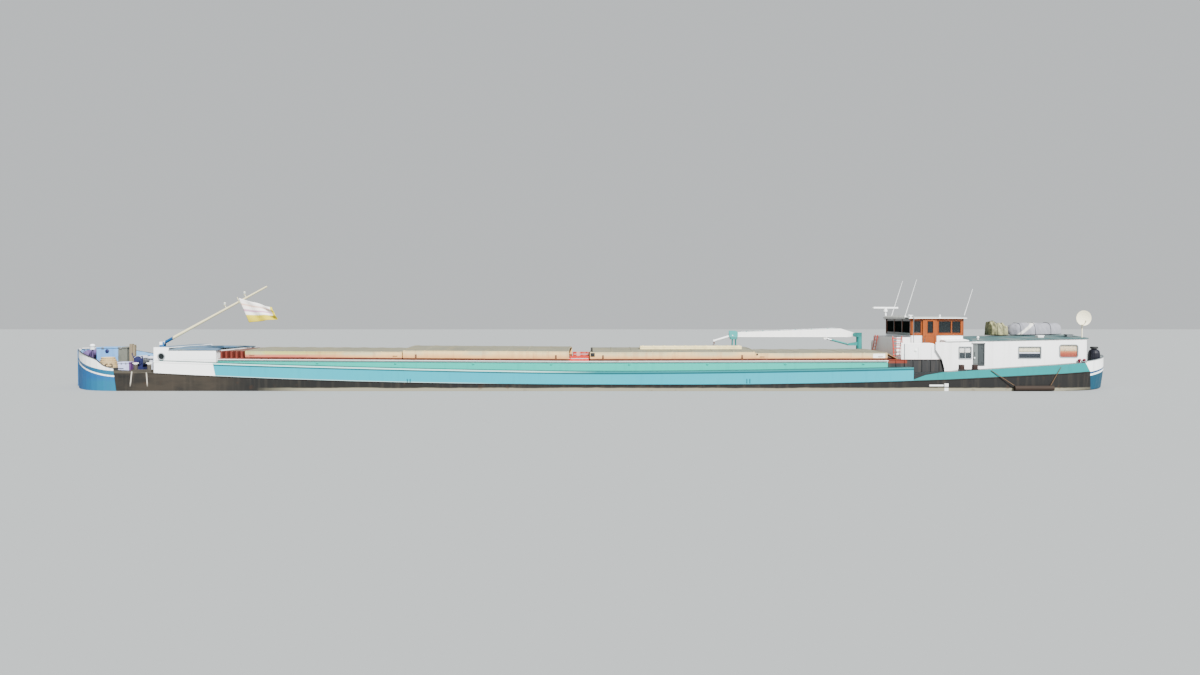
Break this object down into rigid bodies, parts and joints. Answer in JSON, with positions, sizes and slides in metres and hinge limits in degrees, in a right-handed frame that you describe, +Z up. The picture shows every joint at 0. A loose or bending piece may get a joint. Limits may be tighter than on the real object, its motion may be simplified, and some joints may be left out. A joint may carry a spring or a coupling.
{
  "type": "inland motor river barge, 1:2 scale model",
  "caption": "Half-scale inland motor cargo barge with rolling hatch covers, raised sides, wheelhouse, aft cabin, deck crane and lowering foremast.",
  "frame": {"origin": "under the middle of the flat hull bottom", "axes": "+X towards the bow, +Y to port, +Z up"},
  "size_m": [24.9, 3.4278, 3.6661],
  "materials": {
    "black_paint": "weathered dark hull paint with grey scuffs",
    "turquoise_paint": "satin turquoise paint, chalked and scratched along edges",
    "white_paint": "satin white paint with light streaks",
    "blue_paint": "satin blue paint",
    "pale_blue_paint": "satin pale blue paint",
    "navy_paint": "dark navy paint, greasy",
    "teal_grey_paint": "matt teal grey deck paint",
    "teal_paint": "satin teal paint",
    "dark_grey_paint": "matt dark grey paint",
    "red_oxide": "matt red oxide primer",
    "cream_paint": "satin cream paint",
    "hatch_metal": "dull grey sheet with grime and pale wear",
    "roof_paint": "matt grey paint",
    "varnished_wood": "varnished orange-brown hardwood",
    "timber": "bare weathered timber",
    "rope": "laid tan rope",
    "flag_cloth": "thin woven cloth, pale with one yellow band",
    "grey_canvas": "grey waterproof cover",
    "olive_canvas": "faded olive tarpaulin",
    "bronze": "dull bronze",
    "steel": "bare and painted machine steel"
  },
  "bodies": {
    "root": {"hull": "black_paint", "side_decks": "turquoise_paint", "coaming": "turquoise_paint", "aft_deck": "turquoise_paint", "bow_bulwark": "white_paint", "stern_rail": "white_paint", "stem_bar": "blue_paint", "fore_house": "white_paint", "fore_house_roof": "teal_grey_paint", "hatch_beams": "red_oxide", "mast_tabernacle": "blue_paint", "windlass": "navy_paint", "bow_lamp_stand": "white_paint", "bow_locker": "pale_blue_paint", "deck_chest": "navy_paint", "rope_coil": "rope", "timber_posts": "timber", "fore_winch": "navy_paint", "bollards_fore_port": "white_paint", "bollards_fore_starboard": "white_paint", "crane_pedestal": "teal_paint", "boom_rest": "teal_paint", "engine_casing": "dark_grey_paint", "engine": "steel", "screen_port": "white_paint", "screen_starboard": "white_paint", "ladder_port": "red_oxide", "ladder_starboard": "red_oxide", "wheelhouse_base": "white_paint", "wheelhouse_walls": "varnished_wood", "wheelhouse_roof": "roof_paint", "helm": "varnished_wood", "radar_mast": "white_paint", "aft_cabin": "white_paint", "cabin_roof": "teal_grey_paint", "dinghy": "grey_canvas", "roof_bundle": "olive_canvas", "satellite_dish": "cream_paint", "stern_capstan": "navy_paint", "bollards_aft_port": "black_paint", "bollards_aft_starboard": "black_paint", "timber_fender": "timber"},
    "mast": {"foremast": "cream_paint", "flag": "flag_cloth"},
    "cover_fore_lower": {"hatch_fore_lower": "hatch_metal"},
    "cover_fore_upper": {"hatch_fore_upper": "hatch_metal"},
    "cover_aft_upper": {"hatch_aft_upper": "hatch_metal", "gangplank": "cream_paint"},
    "cover_aft_lower": {"hatch_aft_lower": "hatch_metal"},
    "crane_turret": {"crane_column": "teal_paint"},
    "boom": {"crane_boom": "white_paint"},
    "jib": {"crane_jib": "white_paint"},
    "cylinder": {"crane_cylinder": "teal_paint"},
    "rod": {"crane_rod": "steel"},
    "door_port": {"wheelhouse_door_port": "varnished_wood"},
    "door_starboard": {"wheelhouse_door_starboard": "varnished_wood"},
    "cabin_side_door": {"cabin_door": "roof_paint"},
    "scanner": {"radar_scanner": "white_paint"},
    "screw": {"propeller": "bronze"},
    "rudder_blade": {"rudder": "red_oxide"}
  },
  "joints": [
    {"name": "mast_pivot", "type": "hinge", "parent": "root", "child": "mast", "pos_m": [10.43, 0, 2.13], "axis": [0, 1, 0], "range_deg": [-9, 61.4]},
    {"name": "cover_fore_upper_roll", "type": "slide", "parent": "root", "child": "cover_fore_upper", "axis": [1, 0, 0.0056], "range_m": [-0.237, 3.6]},
    {"name": "cover_fore_lower_roll", "type": "slide", "parent": "root", "child": "cover_fore_lower", "axis": [-1, 0, -0.0056], "range_m": [0, 3.6]},
    {"name": "cover_aft_upper_roll", "type": "slide", "parent": "root", "child": "cover_aft_upper", "axis": [-1, 0, 0.0021], "range_m": [-0.237, 3.05]},
    {"name": "cover_aft_lower_roll", "type": "slide", "parent": "root", "child": "cover_aft_lower", "axis": [1, 0, -0.0021], "range_m": [0, 3.6]},
    {"name": "crane_slew", "type": "hinge", "parent": "root", "child": "crane_turret", "pos_m": [-6.91, -1.475, 1.79], "axis": [0, 0, 1], "range_deg": [-150, 60]},
    {"name": "boom_luff", "type": "hinge", "parent": "crane_turret", "child": "boom", "pos_m": [-6.78, -1.475, 2.32], "axis": [0, -1, 0], "range_deg": [0, 60]},
    {"name": "jib_fold", "type": "hinge", "parent": "boom", "child": "jib", "pos_m": [-3.64, -1.475, 2.3], "axis": [0, -1, 0], "range_deg": [0, 60]},
    {"name": "cylinder_foot", "type": "hinge", "parent": "crane_turret", "child": "cylinder", "pos_m": [-6.64, -1.475, 2.066], "axis": [0, -1, 0], "range_deg": [0, 56]},
    {"name": "rod_slide", "type": "slide", "parent": "cylinder", "child": "rod", "axis": [0.9673, 0, 0.2537], "range_m": [0, 0.284]},
    {"name": "door_port_slide", "type": "slide", "parent": "root", "child": "door_port", "axis": [1, 0, 0], "range_m": [0, 0.31]},
    {"name": "door_starboard_slide", "type": "slide", "parent": "root", "child": "door_starboard", "axis": [1, 0, 0], "range_m": [0, 0.31]},
    {"name": "cabin_door_hinge", "type": "hinge", "parent": "root", "child": "cabin_side_door", "pos_m": [-9.065, 1.3586, 1.9], "axis": [0, 0, 1], "range_deg": [0, 100]},
    {"name": "scanner_turn", "type": "hinge", "parent": "root", "child": "scanner", "pos_m": [-7.42, -0.9, 2.99], "axis": [0, 0, 1], "continuous": true},
    {"name": "screw_turn", "type": "hinge", "parent": "root", "child": "screw", "pos_m": [-11.23, 0, 0.5], "axis": [1, 0, 0], "continuous": true},
    {"name": "rudder_turn", "type": "hinge", "parent": "root", "child": "rudder_blade", "pos_m": [-11.65, 0, 0.5], "axis": [0, 0, 1], "range_deg": [-45, 45]}
  ],
  "couplings": [
    {"joint": "cylinder_foot", "follows": "boom_luff", "ratio": 0.917},
    {"joint": "rod_slide", "follows": "boom_luff", "m_per_rad": 0.2698}
  ]
}
